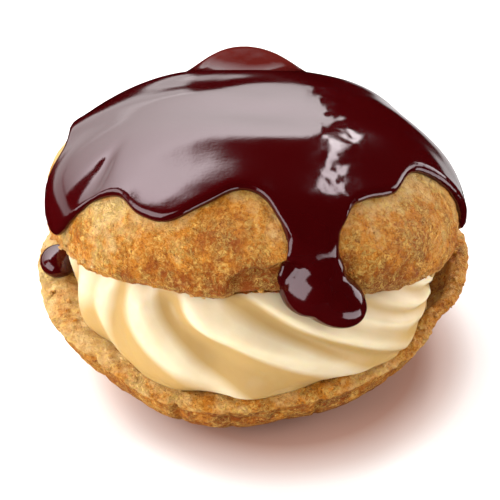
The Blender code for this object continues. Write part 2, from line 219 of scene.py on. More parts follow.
TONGUE_THICKNESS = ((0, 0.4), (0.2, 1.5), (0.4, 2.0), (0.52, 1.9), (0.6, 2.1), (0.72, 2.4), (0.84, 2.3),
                    (1, 2.0))
TONGUE_LOPSIDED = 0.3
TONGUE_START = math.radians(50)
TONGUE_LEAVES = math.radians(86)
TONGUE_RUN = 20 * MM
TONGUE_DEPTH = 2.2 * MM
TIP_ROUNDING = 0.16
TONGUE_DRIFT = np.array((0.0, 0.12, -0.99))

# Swollen end of the tongue, as eggs that face forwards and up: their middles from the axis and their sizes
# across, upwards and forwards in mm, then how far they lean and how far they turn to the left in degrees
BULBS = (((12.7, -34.0, 38.0), (7.5, 5.05, 5.0), -31, 0), ((9.1, -34.8, 40.2), (5.6, 4.9, 2.9), -18, 27),
         ((11.2, -33.0, 42.5), (4.6, 4.6, 3.0), -20, 0))
BULB_FACING = math.radians(40)
BULB_ROWS = 40

# Part of the glaze that set in ripples: where it lies across and upright, as shares of a reach
RIPPLE_REACH = 60 * MM
RIPPLES_ACROSS = ((0.15, 0), (0.2, 1), (0.29, 1), (0.34, 0))
RIPPLES_UPRIGHT = ((0.78, 0), (0.83, 1), (0.9, 1), (0.96, 0.5))

# Thin dull patch of the glaze over the lobe at the back, how it fades by share of its reach, and its mottle
DULL_PLACE = (-0.5 * MM, 36 * MM, 39 * MM)
DULL_REACH = 18 * MM
DULL_FADE = ((0.45, 1), (0.8, 0))
DULL_MOTTLE_SIZE = 5 * MM
DULL_MOTTLE = ((0.38, 0.93), (0.55, 1))

# Drop of chocolate on the rim at the left
DROP_CENTRE = np.array((-36.8, -1.4, 18.5)) * MM
DROP_SIZE = np.array((3.5, 4.0, 2.5)) * MM

# Crumbs: one in so many lies on the lid's lip, the others on the rim. Their lip runs in degrees from the
# crown, and each is an uneven ball
CRUMB_SEED = 11
CRUMBS_ON_LID = 4
CRUMB_AZIMUTHS = (-172, 25)
CRUMBS_ACROSS_RIM = (0.05, 0.95)
CRUMBS_DOWN_LIP = (92, 112)
CRUMB_SIZES = (0.2 * MM, 0.6 * MM)
CRUMB_SHAPES = (0.55, 1.3)
CRUMB_GRAIN = 0.7 * MM
CRUMB_BAKING = 0.25

# How brown the choux is drawn, by azimuth and by part: 0 pale, 0.5 golden, 1 brown. Beside the dough's own
# tone this holds painted light and shade
# Painted light: paler on the lit left and lighter at the right front, on top of the dough's own tone
LID_BAKING_AND_LIGHT = ((-180, -0.15), (-150, -0.1), (-120, 0.16), (-100, 0.46), (-85, 0.36), (-60, 0.3), (-30, 0.16),
              (30, 0.3), (120, 0.4))
# Painted shade: darker towards the lid's lower edge, where it curls under
LOWER_PAINTED_SHADE = 0.62
LOWER_START = 50
LOWER_SPREAD = 50
# Painted shade: darkest in the recess broken out below the middle lobe
BROKEN_PAINTED_SHADE = 0.9
# Painted light: paler on the lit left, on top of the dough's own tone
BASE_BAKING_AND_LIGHT = ((-180, 0.05), (-150, 0.05), (-125, 0.2), (-100, 0.36), (-60, 0.38), (-30, 0.4), (0, 0.5),
               (120, 0.4))
WALL_BAKING = 0.4
# Darker towards the foot of the wall
FOOT_DARKENING = 0.3
# Painted shade: darker in the hollows and pits of the base's wall
HOLLOW_PAINTED_SHADE = 0.28

# Relief of the baked skin and of the torn crumb: sizes of their grains, heights as multiples of the settings
CRAG_GRAIN = 4.5 * MM
FINE_GRAIN = 1.6 * MM
BASE_CRAGS = 1.4
BASE_FINE = 1.2
LID_CRAGS = 1.6
LID_FINE = 1.0
BASE_TORN_GRAIN = 1.1 * MM
LID_TORN_GRAIN = 1.4 * MM
BASE_TORN = 1.0
LID_TORN = 1.4
CRUST_DETAIL = 2
TORN_DETAIL = 3

# Patterns of the baked skin: sizes of their grains, then how much shows at which height of the pattern
BLOTCH_SIZE = 8 * MM
MOTTLE_SIZE = 2.2 * MM
GRAIN_SIZE = 0.6 * MM
SCALE_SIZE = 1.7 * MM
PATCH_SIZE = 3.2 * MM
PIT_SIZE = 1.1 * MM
PITTED_SIZE = 3.5 * MM
GOLDEN = ((0, 0), (0.5, 1))
BROWNED = ((0.5, 0), (1, 1))
CRACKS = ((0.455, 0), (0.49, 1), (0.525, 0))
CRACKED = ((0.45, 0), (0.55, 1))
# Painted shade: the small pits are drawn darker where they sink
PITS = ((0.06, 1), (0.24, 0))
PITTED = ((0.5, 0), (0.64, 1))
PALE_SCALES = ((0.54, 0), (0.68, 0.6))
# Partly painted shade: darker in the low grain, on top of the dough's own dark flecks
DARK_GRAIN_AND_SHADE = ((0.36, 1), (0.47, 0))
# Partly painted highlight: pale specks on the high grain, besides pale crumbs
PALE_GRAIN_AND_HIGHLIGHT = ((0.52, 0), (0.6, 1))
SPARSE = ((0.42, 0.28), (0.6, 1))
CRUST_BUMP = 2 * MM

# Patterns of the cream and of the chocolate, likewise
STREAK_SIZE = 7 * MM
STREAKS = ((0.4, 0), (0.65, 1))
STREAK_TONE = 0.2
# Painted shade: how dark the cream's grooves and foot are drawn
GROOVE_SHADE = ((0.2, 0), (0.85, 1))
CREAM_GRAIN = 1.5 * MM
CREAM_BUMP = 0.06 * MM
CREAM_GLOW = 3 * MM
FLOW_SIZE = 12 * MM
RIPPLE_SIZE = 4.5 * MM
SET_GRAIN = 0.5 * MM
CHOCOLATE_BUMP = 0.8 * MM

# Camera
CAMERA_TARGET = (-0.76 * MM, 0.48 * MM, 20 * MM)
CAMERA_ELEVATION = math.radians(40)
CAMERA_DISTANCE = 0.6
CAMERA_LENS = 230.7
CAMERA_CLIP = 0.01
SENSOR = 36

# Light panels round the bun: azimuth, elevation, lean and turn in degrees, width and height in metres
PANELS = {
    "soft_box": (119, 37, 0, 4, (1.07, 0.86)),
    "slit": (62, 43, 43, 26.5, (0.075, 0.55)),
    "left_panel": (204, 24, 24, 0, (0.75, 0.64)),
    "right_panel": (27, 9, 9, 0, (0.56, 0.38)),
    "right_fill": (-16, 28, 28, 0, (0.3, 0.3)),
    "low_card": (138, -2, -2, 0, (1.45, 0.19)),
    "right_card": (72, -26, -26, 0, (0.28, 0.2)),
    "front_card": (-40, -22, -22, 0, (0.9, 0.4)),
}
PANEL_DISTANCE = 0.8

# Soft box: how much dimmer it is at its foot, and how much of its upper corner is cut off, over what edge
DIMMING = 0.84
CORNER_CUT = 0.62
CORNER_EDGE = ((0.68, 1), (0.75, 0))

# Painted warm shadow on the floor round the bun: its middle, and how it fades by share of its reach
PAINTED_SHADE_PLACE = (5.5 * MM, -6 * MM, 0)
PAINTED_SHADE_REACH = 60 * MM
PAINTED_SHADE_FADE = ((0.42, 1), (0.53, 0.6), (0.61, 0.18), (0.72, 0))


def along(knots, where):
    """Smooth curve through (place, value) knots."""
    at = np.array([place for place, value in knots], float)
    to = np.array([value for place, value in knots], float)
    slope = np.gradient(to, at)
    i = np.clip(np.searchsorted(at, where, side="right") - 1, 0, len(at) - 2)
    span = at[i + 1] - at[i]
    u = (where - at[i]) / span
    start = to[i] * (1 + 2 * u) * (1 - u) ** 2 + slope[i] * span * u * (1 - u) ** 2
    end = to[i + 1] * u ** 2 * (3 - 2 * u) + slope[i + 1] * span * u ** 2 * (u - 1)
    return start + end


def around(knots, azimuth):
    """Smooth closed curve through (azimuth in degrees, value) knots, read at azimuths in radians."""
    before = tuple((angle - 360, value) for angle, value in knots[-2:])
    after = tuple((angle + 360, value) for angle, value in knots[:2])
    return along((*before, *knots, *after), np.mod(np.degrees(azimuth) - knots[0][0], 360) + knots[0][0])


def smooth(share):
    share = np.clip(share, 0, 1)
    return share * share * (3 - 2 * share)


def polar_point(azimuth, reach, height):
    return np.stack((reach * np.cos(azimuth), reach * np.sin(azimuth), height + 0 * azimuth), axis=-1)


def lumps(point, seed):
    """Soft unevenness of the baked dough: a sum of waves in seeded directions."""
    draw = np.random.default_rng(seed)
    total = np.zeros(point.shape[:-1])
    for wave in range(LUMP_WAVES):
        direction = draw.normal(size=3)
        direction /= np.linalg.norm(direction)
        length = LUMP_SIZE * draw.uniform(*LUMP_LENGTHS)
        total += np.sin(point @ direction * TURN / length + draw.uniform(0, TURN))
    return total * LUMP_HEIGHT / math.sqrt(LUMP_WAVES / 2)


def turned_from(azimuth, at):
    """Degrees between azimuths in radians and one in degrees."""
    return np.degrees(np.angle(np.exp(1j * (azimuth - np.radians(at)))))


def rim_reach(azimuth):
    """Reach of the rim's outer edge, with its nicks."""
    reach = around(BASE_REACH, azimuth)
    for at, spread, depth in RIM_NICKS:
        reach = reach - depth * np.exp(-(turned_from(azimuth, at) / spread) ** 2 / 2)
    return reach * MM


def base_hollow(azimuth, up):
    """Depth of the hollows and pits in the base's wall, in mm."""
    total = 0 * up
    for at, level, spread, upwards, depth in BASE_HOLLOWS:
        turn = turned_from(azimuth, at)
        total = total + depth * np.exp(-((turn / spread) ** 2 + ((up / MM - level) / upwards) ** 2) / 2)
    return total


def base_outer(azimuth, share):
    """Outer wall of the base, share 0 at the edge of the flat spot and 1 at the rim's outer edge."""
    reach = rim_reach(azimuth)
    height = around(RIM_HEIGHT, azimuth) * MM
    angle = share * RIGHT_ANGLE
    out = FLAT_SPOT + (reach - FLAT_SPOT) * np.sin(angle) ** (2 / BASE_ROUNDNESS)
    out = out - LEDGE * smooth((1 - share) * LEDGE_START) * smooth(share * LEDGE_END)
    up = height * (1 - np.cos(angle) ** (2 / BASE_ROUNDNESS))
    out = out - base_hollow(azimuth, up) * MM
    wall = polar_point(azimuth, out, up)
    return wall + polar_point(azimuth, lumps(wall, BASE_SEED) * smooth(share * BASE_LUMPS_START), 0)


def base_rim(azimuth, share):
    """Top of the rim, share 0 at its outer edge and 1 at its inner edge."""
    reach = rim_reach(azimuth)
    height = around(RIM_HEIGHT, azimuth) * MM
    edge = polar_point(azimuth, reach, height)
    unevenness = lumps(edge, BASE_SEED)
    width = around(RIM_WIDTH, azimuth) * MM + unevenness
    crown = RIM_CROWN * 4 * share * (1 - share)
    return polar_point(azimuth, reach + unevenness - share * width, height + crown)


def base_bowl(azimuth, share):
    """Inside of the bowl, share 0 at the rim's inner edge and 1 in the middle of its floor."""
    edge = base_rim(azimuth, 1.0)
    reach = np.hypot(edge[..., 0], edge[..., 1])
    angle = share * RIGHT_ANGLE
    out = reach * np.cos(angle) ** (2 / BOWL_ROUNDNESS)
    up = BOWL_FLOOR + (edge[..., 2] - BOWL_FLOOR) * (1 - np.sin(angle) ** (2 / BOWL_ROUNDNESS))
    return polar_point(azimuth, out, up)


def over_base(azimuth, share, down):
    """Where the cream lies on the base: share goes over the rim, and down goes on into the bowl."""
    reach, foot, width = rim_reach(azimuth) / MM, around(CREAM_REACH, azimuth), around(RIM_WIDTH, azimuth)
    start = np.clip((reach - foot) / width, 0, 1)
    short = np.clip(foot / (reach - width), 0, 1) ** (BOWL_ROUNDNESS / 2)
    sunk = np.arccos(short) / RIGHT_ANGLE
    on_rim = base_rim(azimuth, start + (1 - start) * share)
    in_bowl = base_bowl(azimuth, sunk + (1 - sunk) * down)
    return np.where(((down > 0) | (sunk > 0))[..., None], in_bowl, on_rim)


def lid_to_part(point):
    """Takes a point of the lid's own frame to the bun's: tipped back, rolled, and set on the cream."""
    x, y, z = point[..., 0], point[..., 1], point[..., 2]
    y, z = y * math.cos(LID_TIP) + z * math.sin(LID_TIP), z * math.cos(LID_TIP) - y * math.sin(LID_TIP)
    x, z = x * math.cos(LID_ROLL) + z * math.sin(LID_ROLL), z * math.cos(LID_ROLL) - x * math.sin(LID_ROLL)
    return np.stack((x, y, z), axis=-1) + LID_CENTRE


def lid_swell(azimuth, polar):
    """Height of the swells and valleys over the lid."""
    total = 0 * azimuth
    for at, down, spread, height in LID_SWELLS:
        at, down, spread = math.radians(at), math.radians(down), math.radians(spread)
        cosine = np.cos(polar) * math.cos(down) + np.sin(polar) * math.sin(down) * np.cos(azimuth - at)
        away = np.arccos(np.clip(cosine, -1, 1))
        total = total + height * MM * np.exp(-(away / spread) ** 2 / 2)
    return total


def broken(azimuth, polar):
    """Share to which the lid is broken away."""
    at = np.degrees(azimuth)
    first, last = BREAK_ENDS
    inside = smooth((at - first) / BREAK_EDGE) * smooth((last - at) / BREAK_EDGE)
    top = along(BREAK_TOP, np.clip(at, BREAK_TOP[0][0], BREAK_TOP[-1][0]))
    under = smooth((BREAK_FOOT - np.degrees(polar)) / BREAK_FOOT_EDGE)
    return inside * under * smooth((np.degrees(polar) - top) / BREAK_EDGE)


def lid_local(azimuth, polar):
    """Lid in its own frame, polar 0 at the crown, 90 degrees at its widest, 180 under its middle."""
    azimuth, polar = np.broadcast_arrays(azimuth, polar)
    reach = around(LID_REACH, azimuth) * MM
    skirt = around(LID_SKIRT, azimuth) * MM
    above = polar <= RIGHT_ANGLE
    power = 2 / np.where(above, DOME_ROUNDNESS, SKIRT_ROUNDNESS)
    across = np.abs(np.sin(polar)) ** power
    upright = np.abs(np.cos(polar)) ** power
    depth = LID_HOLLOW + (skirt - LID_HOLLOW) * smooth(across * HOLLOW_SPREAD)
    height = np.where(above, LID_HEIGHT * upright, -depth * upright)
    point = polar_point(azimuth, reach * across, height)
    outward = point / np.maximum(np.linalg.norm(point, axis=-1, keepdims=True), TINY)
    rise = lid_swell(azimuth, polar) + lumps(point, LID_SEED) * smooth(polar / LID_LUMPS_START)
    rise = rise - BREAK_DEPTH * broken(azimuth, polar)
    return point + outward * (rise * smooth(LID_LUMPS_END - polar / RIGHT_ANGLE))[..., None]


def lid_surface(azimuth, polar):
    return lid_to_part(lid_local(azimuth, polar))


def lid_normal(azimuth, polar):
    """Outward direction of the lid's skin, from its slopes along both angles."""
    step = NORMAL_STEP
    polar = np.maximum(polar, step * 2)
    downwards = lid_surface(azimuth, polar + step) - lid_surface(azimuth, polar - step)
    sideways = lid_surface(azimuth + step, polar) - lid_surface(azimuth - step, polar)
    normal = np.cross(downwards, sideways)
    return normal / np.linalg.norm(normal, axis=-1, keepdims=True)


def under_lid(azimuth, share):
    """Underside of the lid, share 0 in its middle and 1 where the side of the cream starts."""
    return lid_surface(azimuth, math.pi - (math.pi - LID_UNDER) * share)


def ridge_height(azimuth, share):
    """Height of the ridges over the cream's side, in mm."""
    total = np.empty(azimuth.shape)
    heights = [height for height, places in RIDGES] + [BACK_HEIGHTS[line % 2] for line in range(BACK_LINES)]
    heights = np.array(heights * 3)
    for row in np.unique(share):
        here = share == row
        front = np.array([along(tuple(zip(RIDGE_LEVELS, places)), row) for height, places in RIDGES])
        rest = np.arange(1, BACK_LINES + 1) / (BACK_LINES + 1) * (front[0] + 360 - front[-1]) + front[-1]
        lines = np.concatenate((front, rest))
        lines = np.concatenate((lines - 360, lines, lines + 360))
        at = np.degrees(azimuth[here])
        i = np.clip(np.searchsorted(lines, at, side="right") - 1, 0, len(lines) - 2)
        step = smooth((at - lines[i]) / (lines[i + 1] - lines[i]))
        total[here] = heights[i] + (heights[i + 1] - heights[i]) * step
    return total


def cream_side(azimuth, share):
    """Fluted side of the cream, share 0 under the lid and 1 on the rim of the base."""
    top = under_lid(azimuth, 1.0)
    foot = over_base(azimuth, 0 * azimuth, 0 * azimuth)
    out = polar_point(azimuth, 1.0 + 0 * azimuth, 0 * azimuth)
    bulge = around(CREAM_BULGE, azimuth)[..., None] * MM
    first = top + out * bulge * BULGE_ABOVE - CREAM_SHOULDER
    second = foot + out * bulge * BULGE_BELOW + CREAM_SHOULDER
    ridge = ridge_height(azimuth, share) * MM * smooth(share * RIDGES_START) * (1 - RIDGES_FADE * share)
    ridge = ridge * smooth((1 - share) * RIDGES_END)
    share = share[..., None]
    curve = (top * (1 - share) ** 3 + 3 * first * share * (1 - share) ** 2
             + 3 * second * share ** 2 * (1 - share) + foot * share ** 3)
    return curve + out * ridge[..., None]


def glaze_groove(azimuth, polar):
    """Depth of the groove that runs up from the glaze's edge at the left."""
    down = np.clip(np.degrees(polar), *GROOVE_ENDS)
    aside = turned_from(azimuth, along(GROOVE_LINE, down))
    return along(GROOVE_DEPTH, down) * MM * np.exp(-(aside / along(GROOVE_SPREAD, down)) ** 2 / 2)


def glaze_outside(azimuth, share):
    """Upper side of the glaze, share 0 at the crown and 1 at its edge, with closer steps near the edge."""
    edge = np.radians(around(GLAZE_REACH, azimuth))
    polar = edge * (1 - (1 - share) ** EDGE_CROWDING)
    from_edge = (edge - polar) * GLAZE_RADIUS
    fill = np.clip(from_edge / GLAZE_EDGE, 0, 1)
    bead = GLAZE_BEAD * np.exp(-from_edge / (GLAZE_EDGE * BEAD_SPREAD))
    bead = bead * (1 - np.exp(-((np.degrees(azimuth) - BEAD_GAP[0]) / BEAD_GAP[1]) ** 2))
    thick = (GLAZE_THICKNESS + bead - glaze_groove(azimuth, polar)) * np.sqrt(1 - (1 - fill) ** 2)
    return lid_surface(azimuth, polar) + lid_normal(azimuth, polar) * thick[..., None]


def glaze_inside(azimuth, share):
    """Underside of the glaze, sunk a little into the lid."""
    polar = np.radians(around(GLAZE_REACH, azimuth)) * (1 - share)
    sunk = GLAZE_SUNK * smooth(share * GLAZE_SINKS)
    return lid_surface(azimuth, polar) - lid_normal(azimuth, polar) * sunk[..., None]


def tongue_shape(azimuth, share):
    """Tongue from its root to its tip: round outside, sunk into the lid, and hanging down past its side."""
    across = (1 + np.cos(azimuth)) / 2
    left, right = along(TONGUE_LEFT, share), along(TONGUE_RIGHT, share)
    left_down, right_down = along(LEFT_DOWN, share) * MM, along(RIGHT_DOWN, share) * MM
    at = np.radians(left + (right - left) * across)
    down = left_down + (right_down - left_down) * across
    polar = TONGUE_START + (TONGUE_LEAVES - TONGUE_START) * np.clip(down / TONGUE_RUN, 0, 1)
    fall = np.clip(down - TONGUE_RUN, 0, None)
    tip = np.sqrt(1 - np.clip(1 - (1 - share) / TIP_ROUNDING, 0, 1) ** 2)
    outward = np.sin(azimuth + TONGUE_LOPSIDED * np.sin(azimuth))
    thick = np.where(outward > 0, along(TONGUE_THICKNESS, share) * MM, TONGUE_DEPTH) * outward * tip
    point = lid_surface(at, polar) + lid_normal(at, polar) * thick[..., None]
    return point + TONGUE_DRIFT * fall[..., None]


def egg(azimuth, share, centre, size, lean, turn):
    """Egg that faces forwards and up, leans, and turns to the left."""
    lean, turn = math.radians(lean), math.radians(turn)
    ball = polar_point(azimuth, np.sin(share * math.pi), np.cos(share * math.pi)) * np.array(size)
    leant = ball[:, 0] * math.cos(lean) - ball[:, 1] * math.sin(lean)
    upwards = ball[:, 1] * math.cos(lean) + ball[:, 0] * math.sin(lean)
    across = leant * math.cos(turn) - ball[:, 2] * math.sin(turn)
    forwards = ball[:, 2] * math.cos(turn) + leant * math.sin(turn)
    back = upwards * math.sin(BULB_FACING) - forwards * math.cos(BULB_FACING)
    rise = upwards * math.cos(BULB_FACING) + forwards * math.sin(BULB_FACING)
    return (np.array(centre) + np.stack((across, back, rise), axis=-1)) * MM


def drop_shape(azimuth, share):
    """Drop with its underside lying on the rim."""
    polar = share * math.pi
    point = polar_point(azimuth, np.sin(polar), np.cos(polar)) * DROP_SIZE + DROP_CENTRE
    at = np.arctan2(point[:, 1], point[:, 0])
    outer, inner = base_rim(at, 0.0), base_rim(at, 1.0)
    outer_reach, inner_reach = np.hypot(outer[:, 0], outer[:, 1]), np.hypot(inner[:, 0], inner[:, 1])
    inwards = (outer_reach - np.hypot(point[:, 0], point[:, 1])) / (outer_reach - inner_reach)
    under = base_rim(at, np.clip(inwards, 0, 1))[:, 2]
    point[:, 2] = np.maximum(point[:, 2], under)
    return point


# Each piece as stretches from the top of its middle to the bottom: rows of faces, and their points
BASE = ((24, lambda azimuth, share: base_bowl(azimuth, 1 - share)),
        (24, lambda azimuth, share: base_rim(azimuth, 1 - share)),
        (60, lambda azimuth, share: base_outer(azimuth, 1 - share)),
        (6, lambda azimuth, share: polar_point(azimuth, FLAT_SPOT * (1 - share), 0)))
LID = ((110, lambda azimuth, share: lid_surface(azimuth, RIGHT_ANGLE * share)),
       (40, lambda azimuth, share: lid_surface(azimuth, RIGHT_ANGLE + (LID_UNDER - RIGHT_ANGLE) * share)),
       (30, lambda azimuth, share: under_lid(azimuth, 1 - share)))
CREAM = ((10, lambda azimuth, share: under_lid(azimuth, share)),
         (90, cream_side),
         (12, lambda azimuth, share: over_base(azimuth, share, 0 * share)),
         (12, lambda azimuth, share: over_base(azimuth, 1 + 0 * share, share)))
GLAZE = ((110, glaze_outside), (70, glaze_inside))
TONGUE = ((60, tongue_shape),)
DROP = ((48, drop_shape),)


def press(piece, stretches):
    """Rolls a sheet round the axis and moves its rows, from the top one down, onto the stretches."""
    points = np.empty(len(piece.data.vertices) * 3)
    piece.data.vertices.foreach_get("co", points)
    points = points.reshape(-1, 3)
    last = sum(rows for rows, run in stretches)
    azimuth = points[:, 0] * math.pi
    row = np.round((1 - points[:, 1]) / 2 * last)
    placed = np.empty(points.shape)
    for name, value in (("azimuth", azimuth), ("row", row)):
        layer = piece.data.attributes.new(name, "FLOAT", "POINT")
        layer.data.foreach_set("value", value)
    start = 0
    for rows, run in stretches:
        here = (row >= start) & (row <= start + rows)
        placed[here] = run(azimuth[here], (row[here] - start) / rows) + AXIS
        start += rows
    for pole in (row == 0, row == last):
        placed[pole] = placed[pole].mean(axis=0)
    piece.data.vertices.foreach_set("co", placed.ravel())
    piece.data.update()


def rolled(name, columns, stretches):
    """A sheet from the add menu, rolled up, pressed into a piece of the bun, and closed at seam and poles."""
    bpy.ops.object.select_all(action="DESELECT")
    rows = sum(rows for rows, run in stretches)
    bpy.ops.mesh.primitive_grid_add(x_subdivisions=columns, y_subdivisions=rows, size=2, calc_uvs=False)
    piece = bpy.context.object
    piece.name = name
    piece.data.name = name
    press(piece, stretches)
    bpy.ops.object.mode_set(mode="EDIT")
    bpy.ops.mesh.remove_doubles(threshold=SEAM)
    bpy.ops.object.mode_set(mode="OBJECT")
    bpy.ops.object.shade_smooth()
    return piece


def mark(piece, name, tone):
    """Gives a piece's points a value reckoned from their azimuth and row on the rolled sheet."""
    azimuth, row = np.empty(len(piece.data.vertices)), np.empty(len(piece.data.vertices))
    piece.data.attributes["azimuth"].data.foreach_get("value", azimuth)
    piece.data.attributes["row"].data.foreach_get("value", row)
    layer = piece.data.attributes.new(name, "FLOAT", "POINT")
    layer.data.foreach_set("value", np.clip(tone(azimuth, np.round(row)), 0, 1))


def weigh(piece, name, tone):
    """Gives a piece's points weights from their azimuth and row on the rolled sheet."""
    mark(piece, name, tone)
    weights = np.empty(len(piece.data.vertices))
    piece.data.attributes[name].data.foreach_get("value", weights)
    group = piece.vertex_groups.new(name=f"{name} weights")
    for index in np.flatnonzero(weights):
        group.add([int(index)], weights[index], "REPLACE")
    return group.name


def lid_polar(row):
    """Angle from the lid's crown at a row of its sheet."""
    widest = LID[0][0]
    return np.interp(row, (0, widest, widest + LID[1][0]), (0, RIGHT_ANGLE, LID_UNDER))


def lid_tear(azimuth, row):
    """Where the lid was torn off: round its lower edge."""
    down = np.degrees(lid_polar(row))
    return smooth((down - TEAR_START) / TEAR_EDGE) * smooth((TEAR_END - down) / TEAR_EDGE)


def base_tear(azimuth, row):
    """Where the base was torn open: over its rim."""
    inner = BASE[0][0]
    outer = inner + BASE[1][0]
    return smooth((row - inner) / RIM_TEAR_STARTS) * smooth((outer + RIM_FADE - row) / RIM_TEAR_ENDS)


def cream_painted_shade(azimuth, row):
    """How much painted shade the cream gets: more in its grooves and towards its foot."""
    share = np.clip((row - CREAM[0][0]) / CREAM[1][0], 0, 1)
    hollow = (HOLLOW_CREST - ridge_height(azimuth, share)) / HOLLOW_RANGE
    return hollow + FOOT_SHADE * smooth((share - FOOT_SHADE_START) / FOOT_SHADE_SPREAD)


def lid_baking_and_painted_light(azimuth, row):
    """How brown the lid is drawn: pale on the left with painted light, deeper towards its lower edge and
    darkest in the broken-away recess with painted shade.
    """
    polar = lid_polar(row)
    lower = smooth((np.degrees(polar) - LOWER_START) / LOWER_SPREAD)
    return around(LID_BAKING_AND_LIGHT, azimuth) + LOWER_PAINTED_SHADE * lower + BROKEN_PAINTED_SHADE * broken(azimuth, polar)


def base_baking_and_painted_light(azimuth, row):
    """How brown the base is drawn: paler on the lit left with painted light, pale on its torn rim, deeper
    down the wall and darker towards the foot, and darker in the pits with painted shade.
    """
    rim = BASE[0][0] + BASE[1][0]
    share = np.clip(1 - (row - rim) / BASE[2][0], 0, 1)
    wall = smooth((row - rim) / RIM_FADE)
    up = around(RIM_HEIGHT, azimuth) * MM * (1 - np.cos(share * RIGHT_ANGLE) ** (2 / BASE_ROUNDNESS))
    tone = around(BASE_BAKING_AND_LIGHT, azimuth) + wall * (WALL_BAKING + FOOT_DARKENING * (1 - share))
    return tone + wall * base_hollow(azimuth, up) * HOLLOW_PAINTED_SHADE


def modify(piece, kind, **settings):
    """Adds a modifier, sets it and applies it."""
    bpy.context.view_layer.objects.active = piece
    bpy.ops.object.modifier_add(type=kind)
    modifier = piece.modifiers[-1]
    for key, value in settings.items():
        setattr(modifier, key, value)
    bpy.ops.object.modifier_apply(modifier=modifier.name)


def relief(piece, size, depth, detail, weights=""):
    """Raises and sinks a piece's skin, or a weighted part of it, by clouds with grains of a size."""
    pattern = bpy.data.textures.new(f"{piece.name} clouds", "CLOUDS")
    pattern.noise_scale = size
    pattern.noise_depth = detail
    modify(piece, "DISPLACE", texture=pattern, strength=depth, vertex_group=weights)
    bpy.data.textures.remove(pattern)


def bake(piece, settings, crags, fine):
    """Raises crags and finer unevenness in a piece's baked skin."""
    relief(piece, CRAG_GRAIN, settings.crust_relief * crags, CRUST_DETAIL)
    relief(piece, FINE_GRAIN, settings.crust_relief * fine, CRUST_DETAIL)


def roughen(piece, settings, grain, torn, where):
    """Roughens a piece where it was torn."""
    relief(piece, grain, settings.torn_relief * torn, TORN_DETAIL, weigh(piece, "torn", where))


def level_foot(piece):
    """Presses what the relief pushed through the floor back onto it."""
    points = np.empty(len(piece.data.vertices) * 3)
    piece.data.vertices.foreach_get("co", points)
    points[2::3] = np.maximum(points[2::3], 0)
    piece.data.vertices.foreach_set("co", points)
    piece.data.update()


def finish_piece(piece, node, finish):
    """Gives a piece its material and says what it rides on, replaces and is made of."""
    piece.data.materials.clear()
    piece.data.materials.append(finish)
    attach(piece, "root")
    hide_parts(node)


class Value:
    """A socket of numbers among nodes, reckoned with as in plain Python."""

    def __init__(self, nodes, socket):
        self.nodes = nodes
        self.socket = socket

    def reckon(self, operation, *terms):
        return self.nodes.node("ShaderNodeMath", {"operation": operation}, dict(enumerate(terms)))

    def __add__(self, other):
        return self.reckon("ADD", self, other)

    def __sub__(self, other):
        return self.reckon("SUBTRACT", self, other)

    def __rsub__(self, other):
        return self.reckon("SUBTRACT", other, self)

    def __mul__(self, other):
        return self.reckon("MULTIPLY", self, other)

    __radd__ = __add__
    __rmul__ = __mul__


class Nodes:
    """The nodes of a material or a light."""

    def __init__(self, tree):
        self.tree = tree

    def node(self, kind, settings, sockets, output=0):
        """Adds a node with its settings, then the values or links of its sockets, and gives one output."""
        made = self.tree.nodes.new(kind)
        for key, value in settings.items():
            if key == "stops":
                self.set_stops(made.color_ramp, value)
            else:
                setattr(made, key, value)
        for key, value in sockets.items():
            self.feed(made.inputs[key], value)
        return Value(self, made.outputs[output])

    def feed(self, socket, value):
        if isinstance(value, Value):
            self.tree.links.new(value.socket, socket)
        elif isinstance(value, tuple) and len(value) < len(socket.default_value):
            socket.default_value = (*value, 1)
        else:
            socket.default_value = value

    def set_stops(self, ramp, stops):
        while len(ramp.elements) < len(stops):
            ramp.elements.new(1)
        for element, (position, shade) in zip(ramp.elements, stops):
            element.position = position
            element.color = (shade, shade, shade, 1)

    def ramp(self, value, stops):
        """Reads a value through a curve of (position, shade) stops."""
        return self.node("ShaderNodeValToRGB", {"stops": stops}, {"Fac": value})

    def part(self, place, axis):
        """One coordinate of a place."""
        return self.node("ShaderNodeSeparateXYZ", {}, {0: place}, axis)

    def distance(self, place, point):
        """How far a place lies from a point."""
        return self.node("ShaderNodeVectorMath", {"operation": "DISTANCE"}, {0: place, 1: point}, "Value")


class Finish(Nodes):
    """A material, built node by node round its Principled shader."""

    def __init__(self, name):
        self.material = bpy.data.materials.new(name)
        self.material.use_nodes = True
        super().__init__(self.material.node_tree)
        self.shader = self.tree.nodes["Principled BSDF"]
        self.place = self.node("ShaderNodeTexCoord", {}, {}, "Object")

    def set(self, **sockets):
        """Sets or links the shader's own sockets."""
        for key, value in sockets.items():
            self.feed(self.shader.inputs[key.replace("_", " ").title().replace("Ior", "IOR")], value)

    def attribute(self, name):
        """Value that mark gave to a piece's points."""
        return self.node("ShaderNodeAttribute", {"attribute_name": name}, {}, "Fac")

    def noise(self, size, detail, roughness, distortion=0.0):
        """Soft noise between 0 and 1 with grains of a size."""
        sockets = {"Vector": self.place, "Scale": 1 / size, "Detail": detail, "Roughness": roughness,
                   "Distortion": distortion}
        return self.node("ShaderNodeTexNoise", {}, sockets)

    def cells(self, size):
        """Distance to the nearest point of scattered cells of a size."""
        return self.node("ShaderNodeTexVoronoi", {}, {"Vector": self.place, "Scale": 1 / size})

    def blend(self, share, first, second):
        """Mixes two colours."""
        return self.node("ShaderNodeMix", {"data_type": "RGBA"}, {0: share, 6: first, 7: second}, 2)

    def bump(self, height, distance):
        return self.node("ShaderNodeBump", {}, {"Height": height, "Distance": distance}, "Normal")


